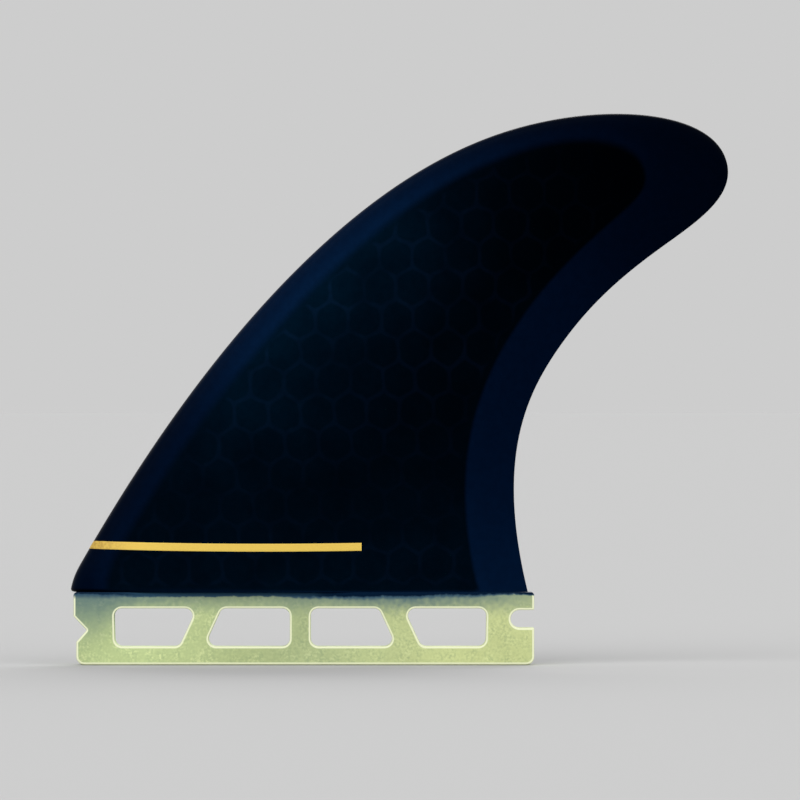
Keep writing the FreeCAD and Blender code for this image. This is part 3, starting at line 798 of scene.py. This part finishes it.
def goldFoil():
    look = foilLook
    material, tree = startMaterial("gold_foil_rubbed_on")
    place = addNode(tree, "ShaderNodeTexCoord").outputs["Object"]
    coarse, fine = 1 / (look["lineLength"] * mm), 1 / (look["lineWidth"] * mm)
    drawn = addNode(tree, "ShaderNodeMapping", None, {"Vector": place, "Scale": (coarse, fine, fine)})
    lines = addNode(tree, *noise, {"Vector": drawn, "Scale": 1.0, "Detail": look["detail"]})
    flecks = 1 / (look["speckle"] * mm)
    speckle = addNode(tree, *noise, {"Vector": place, "Scale": flecks, "Detail": look["detail"]})
    colour = addNode(tree, *colourMix, [lines, linear(look["shade"]), linear(look["gold"])])

    along = addNode(tree, "ShaderNodeSeparateXYZ", None, [place]).outputs["X"]
    # Towards the nose a worn brown comes in by flecks, and paints the shade there too
    wornShadeFrom, wornShadeTo = (x * mm for x in look["wornAndShadedRange"])
    wornAndShaded = addNode(tree, *eased, [along, wornShadeFrom, wornShadeTo, 0.0, look["wearAndShade"]])
    speckled = addNode(tree, *eased, [speckle, *look["speckleRange"]])
    wornAndShaded = addNode(tree, *times, [wornAndShaded, speckled])
    colour = addNode(tree, *colourMix, [wornAndShaded, colour, linear(look["wornAndShaded"])])
    bump = addNode(tree, "ShaderNodeBump", None, {
        "Height": lines,
        "Strength": look["bump"],
        "Distance": look["bumpDepth"] * mm,
    })
    surface = addNode(tree, "ShaderNodeBsdfPrincipled", None, {
        "Base Color": colour,
        "Metallic": look["metal"],
        "Roughness": look["roughness"],
        "Specular IOR Level": look["specular"],
        "Normal": bump,
    })
    addNode(tree, "ShaderNodeOutputMaterial", None, {"Surface": surface})
    return material


stripeFilm.data.materials.append(goldFoil())


# Bare glass fibre: chopped strands in clear resin, compression moulded. The eye sees a pale
# yellow-green that mottles as the strands lie, with a highlight painted along its edges, tinted
# teal and then navy where the blade's resin has bled into its top.

fibreLook = {
    "front": "#b6c58e",
    "rear": "#ccd597",
    # the painted highlight along the rounded edges
    "edge": "#f4f8d2",
    "teal": "#4b6a76",
    "halo": "#3a5668",       # where the bleed thins out
    "bleedThin": "#29485f",
    "bleedThick": "#04182f",
    "gloss": "#4a6a86",
    "roughness": 0.5,
    "specular": 0.15,
    # the strands that are darker and lighter than the resin: the ranges of the mottle and of the
    # clumps over which each kind comes up
    "strands": [
        {"colour": "#9aac80", "mottle": (0.42, 0.75), "clumps": (0.35, 0.65)},
        {"colour": "#dfe6ac", "mottle": (0.52, 0.3), "clumps": (0.4, 0.7)},
    ],
    "strandContrast": (0.15, 0.6),   # outside the clumps and in them
    "strandWidth": 0.6,      # mm, of a bundle: its glass threads are too fine to show
    # noises: how fine each is beside a strand
    "noises": {"mottle": 1.0, "clumps": 0.22, "feather": 0.5, "wave": 0.054},
    "detail": 3.0,
    # by share of the tab's length from front to rear: how light the fibre is, its thin wash of
    # teal, the teal under the blade, how thick the bleed is, and how far it and its halo reach
    # down in mm
    "lightness": [(0, 0.98), (0.14, 1.2), (0.26, 1.07), (0.34, 1.05), (0.5, 1.02), (0.7, 1.04),
                  (0.84, 1.24), (1, 1.04)],
    "wash": [(0, 0.02), (0.15, 0), (0.36, 0.06), (0.5, 0.18), (0.68, 0.1), (0.84, 0), (1, 0)],
    "tealShare": [(0, 0.78), (0.06, 0.8), (0.15, 0.74), (0.3, 0.52), (0.45, 0.46), (0.55, 0.5),
                  (0.64, 0.68), (0.75, 0.85), (0.88, 0.74), (1, 0.45)],
    "thickness": [(0, 1), (0.05, 0.85), (0.1, 0.7), (0.16, 0.15), (0.24, 0), (0.36, 0.05), (0.45, 0.2),
                  (0.52, 0.5), (0.57, 1), (1, 1)],
    "bleedReach": [(0, 0.4), (0.06, 0.45), (0.1, 0.55), (0.17, 0.85), (0.4, 0.85), (0.6, 0.98),
                   (0.8, 0.65), (1, 0.4)],
    "haloWidth": [(0, 1.6), (0.07, 1.5), (0.14, 0.5), (0.44, 0.45), (0.58, 1.05), (0.85, 1), (0.95, 0.5),
                  (1, 0.5)],
    # eased ranges: where each starts and ends, and its value at both where that isn't 0 and 1
    "frontToRear": (-55.0, 50.0),            # mm along the tab
    "patches": (0.3, 0.7, 0.94, 1.06),
    "tealEnd": (-40.0, -54.0, 9.0, 18.0),    # mm along the tab, and mm from its top
    "edgeHighlightRange": (0.15, 0.8),
    "bleedEdge": (0.28, -0.22),              # mm beyond the reach
    "tealStart": 2.6,        # mm from the top, where the teal is full
    "haloStart": 0.1,        # mm beyond the reach, where the halo is full
    "tealFeather": 4.0,      # mm by which the feathered noise moves the teal
    "bleedWave": 0.9,        # mm by which each noise moves the bleed
    "bump": 0.25,
    "bumpDepth": 0.1,        # mm
}


def bareGlassFibre():
    look = fibreLook
    material, tree = startMaterial("glass_fibre_bare_moulded")
    place = addNode(tree, "ShaderNodeTexCoord").outputs["Object"]
    split = addNode(tree, "ShaderNodeSeparateXYZ", None, [place])
    along, height = (addNode(tree, *over, [split.outputs[axis], mm]) for axis in ("X", "Z"))
    halfLength = tabForm["length"] / 2
    share = addNode(tree, "ShaderNodeMapRange", None, [along, -halfLength, halfLength])
    lightness, wash, tealShare, thickness, bleedReach, haloWidth = (
        addNode(tree, "ShaderNodeFloatCurve", {"stops": look[name]}, {"Value": share})
        for name in ("lightness", "wash", "tealShare", "thickness", "bleedReach", "haloWidth"))
    noises = {}
    for name, fineness in look["noises"].items():
        scale = fineness / (look["strandWidth"] * mm)
        noises[name] = addNode(tree, *noise, {"Vector": place, "Scale": scale, "Detail": look["detail"]})

    # The strands: a fine mottle, stronger in clumps, both darker and lighter than the resin
    rearShare = addNode(tree, *eased, [along, *look["frontToRear"]])
    colour = addNode(tree, *colourMix, [rearShare, linear(look["front"]), linear(look["rear"])])
    for strands in look["strands"]:
        fine = addNode(tree, *eased, [noises["mottle"], *strands["mottle"]])
        coarse = addNode(tree, *eased, [noises["clumps"], *strands["clumps"], *look["strandContrast"]])
        both = addNode(tree, *times, [fine, coarse])
        colour = addNode(tree, *colourMix, [both, colour, linear(strands["colour"])])
    patchy = addNode(tree, *eased, [noises["wave"], *look["patches"]])
    for value in (lightness, patchy):
        colour = addNode(tree, *colourTimes, [1.0, colour, value])

    # The blade's resin reaches down from the tab's top: teal, which the painted edge highlight cuts
    # through, then a halo, then navy
    fromTop = addNode(tree, *minus, [tabForm["depth"], height])
    deeper = addNode(tree, *timesPlus, [noises["feather"], look["tealFeather"], fromTop])
    tealEnd = addNode(tree, *eased, [along, *look["tealEnd"]])
    teal = addNode(tree, *eased, [deeper, tealEnd, look["tealStart"]])
    teal = addNode(tree, *timesPlus, [teal, tealShare, wash])
    colour = addNode(tree, *colourMix, [teal, colour, linear(look["teal"])])
    # The painted highlight along the rounded edges, carried on the mesh
    paleness = addNode(tree, "ShaderNodeAttribute", {"attribute_name": "paleness"}).outputs["Fac"]
    edgeLit = addNode(tree, *eased, [paleness, *look["edgeHighlightRange"]])
    colour = addNode(tree, *colourMix, [edgeLit, colour, linear(look["edge"])])

    wavy = fromTop
    for name in ("wave", "feather"):
        swing = addNode(tree, *minus, [noises[name], noiseMiddle])
        wavy = addNode(tree, *timesPlus, [swing, look["bleedWave"], wavy])
    beyond = addNode(tree, *minus, [wavy, bleedReach])
    halo = addNode(tree, *eased, [beyond, haloWidth, look["haloStart"]])
    colour = addNode(tree, *colourMix, [halo, colour, linear(look["halo"])])
    bleed = addNode(tree, *eased, [beyond, *look["bleedEdge"]])
    resin = addNode(tree, *colourMix, [thickness, linear(look["bleedThin"]), linear(look["bleedThick"])])
    colour = addNode(tree, *colourMix, [bleed, colour, resin])

    bump = addNode(tree, "ShaderNodeBump", None, {
        "Height": noises["mottle"],
        "Strength": look["bump"],
        "Distance": look["bumpDepth"] * mm,
    })
    surface = addNode(tree, "ShaderNodeBsdfPrincipled", None, {
        "Base Color": colour,
        "Roughness": look["roughness"],
        "Specular IOR Level": look["specular"],
        "Specular Tint": linear(look["gloss"]),
        "Normal": bump,
    })
    addNode(tree, "ShaderNodeOutputMaterial", None, {"Surface": surface})
    return material


tabMoulding.data.materials.append(bareGlassFibre())


# Core sheet: resin-soaked honeycomb paper, dipped and cured. It is sealed in the blade, matt,
# and dark with a paper grain.

coreLook = {
    "paper": "#2b3440",
    "fibre": "#3d4854",
    "grain": 1.111,          # mm, the width of a flock: its fibres are too fine to show
    "detail": 4.0,
    "bump": 0.2,
    "bumpDepth": 0.05,       # mm
    "roughness": 0.7,
}


def coreSheet():
    look = coreLook
    material, tree = startMaterial("honeycomb_paper_resin_dipped")
    place = addNode(tree, "ShaderNodeTexCoord").outputs["Object"]
    flocks = 1 / (look["grain"] * mm)
    grain = addNode(tree, *noise, {"Vector": place, "Scale": flocks, "Detail": look["detail"]})
    colour = addNode(tree, *colourMix, [grain, linear(look["paper"]), linear(look["fibre"])])
    bump = addNode(tree, "ShaderNodeBump", None, {
        "Height": grain,
        "Strength": look["bump"],
        "Distance": look["bumpDepth"] * mm,
    })
    surface = addNode(tree, "ShaderNodeBsdfPrincipled", None, {
        "Base Color": colour,
        "Roughness": look["roughness"],
        "Normal": bump,
    })
    addNode(tree, "ShaderNodeOutputMaterial", None, {"Surface": surface})
    return material


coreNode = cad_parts["honeycomb_core"]
coreNode.data.materials.clear()
coreNode.data.materials.append(coreSheet())
print("materials made")


# Studio: a pale grey floor under a pale grey surround, soft broad lights, and a long lens

studio = {
    "grey": "#cdcdcd",
    "floorGrey": "#c1c1c1",
    "floorWidth": 80.0,      # m
    "floorDrop": 1e-4,       # m, by which it clears the tab's foot
    "fill": 0.5,             # the surround's light on the object
    # azimuth and elevation in degrees, share of the light on a facing surface, spread in degrees
    "lights": [(-30, 40, 0.45, 60), (50, 25, 0.25, 60), (160, 35, 0.45, 50)],
    "cameraDistance": 2.0,   # m, as the next two
    "viewCentre": (0.024, 0.0661),
    "viewWidth": 0.2,        # across the picture at the fin's middle plane
}


def buildFloor():
    half = studio["floorWidth"] / 2
    floorMesh = bpy.data.meshes.new("floor")
    square = ((-1, -1), (1, -1), (1, 1), (-1, 1))
    corners = [(x * half, y * half, -studio["floorDrop"]) for x, y in square]
    floorMesh.from_pydata(corners, [], [(0, 1, 2, 3)])
    floor = bpy.data.objects.new("floor", floorMesh)
    bpy.context.scene.collection.objects.link(floor)
    material, tree = startMaterial("floor_paint_matt")
    surface = addNode(tree, "ShaderNodeBsdfDiffuse", None, {"Color": linear(studio["floorGrey"])})
    addNode(tree, "ShaderNodeOutputMaterial", None, {"Surface": surface})
    floorMesh.materials.append(material)


def buildSurround():
    # The camera, gloss and clear things see the grey, and all else gets the white fill
    world = bpy.data.worlds.new("surround")
    bpy.context.scene.world = world
    world.use_nodes = True
    tree = world.node_tree
    tree.nodes.clear()
    rays = addNode(tree, "ShaderNodeLightPath").outputs
    seen = addNode(tree, *greater, [rays["Is Camera Ray"], rays["Is Glossy Ray"]])
    seen = addNode(tree, *greater, [seen, rays["Is Transmission Ray"]])
    fill = addNode(tree, "ShaderNodeBackground", None, {"Color": (1, 1, 1, 1), "Strength": studio["fill"]})
    shown = addNode(tree, "ShaderNodeBackground", None, {"Color": linear(studio["grey"]), "Strength": 1.0})
    both = addNode(tree, "ShaderNodeMixShader", None, [seen, fill, shown])
    addNode(tree, "ShaderNodeOutputWorld", None, {"Surface": both})


def addLights():
    # Each is a sun at its elevation and its azimuth, which is counted from the camera's side
    # towards the rear. Its energy is its share times pi, and its spread makes soft shadows.
    for number, (azimuth, elevation, share, spread) in enumerate(studio["lights"]):
        light = bpy.data.lights.new(f"soft_light_{number}", "SUN")
        light.energy = share * math.pi
        light.angle = math.radians(spread)
        lamp = bpy.data.objects.new(light.name, light)
        a, e = math.radians(azimuth), math.radians(elevation)
        fromLamp = Vector((-math.sin(a) * math.cos(e), math.cos(a) * math.cos(e), -math.sin(e)))
        lamp.rotation_euler = fromLamp.to_track_quat("-Z", "Y").to_euler()
        bpy.context.scene.collection.objects.link(lamp)


def addCamera():
    # It looks level along Y. Its lens is the sensor's width times the distance over the view's.
    cameraData = bpy.data.cameras.new("camera")
    cameraData.lens = cameraData.sensor_width * studio["cameraDistance"] / studio["viewWidth"]
    camera = bpy.data.objects.new("camera", cameraData)
    camera.location = (studio["viewCentre"][0], -studio["cameraDistance"], studio["viewCentre"][1])
    camera.rotation_euler = (math.radians(90), 0, 0)
    bpy.context.scene.collection.objects.link(camera)
    bpy.context.scene.camera = camera


buildFloor()
buildSurround()
addLights()
addCamera()
bpy.context.scene.view_settings.view_transform = "Standard"
print("studio set")
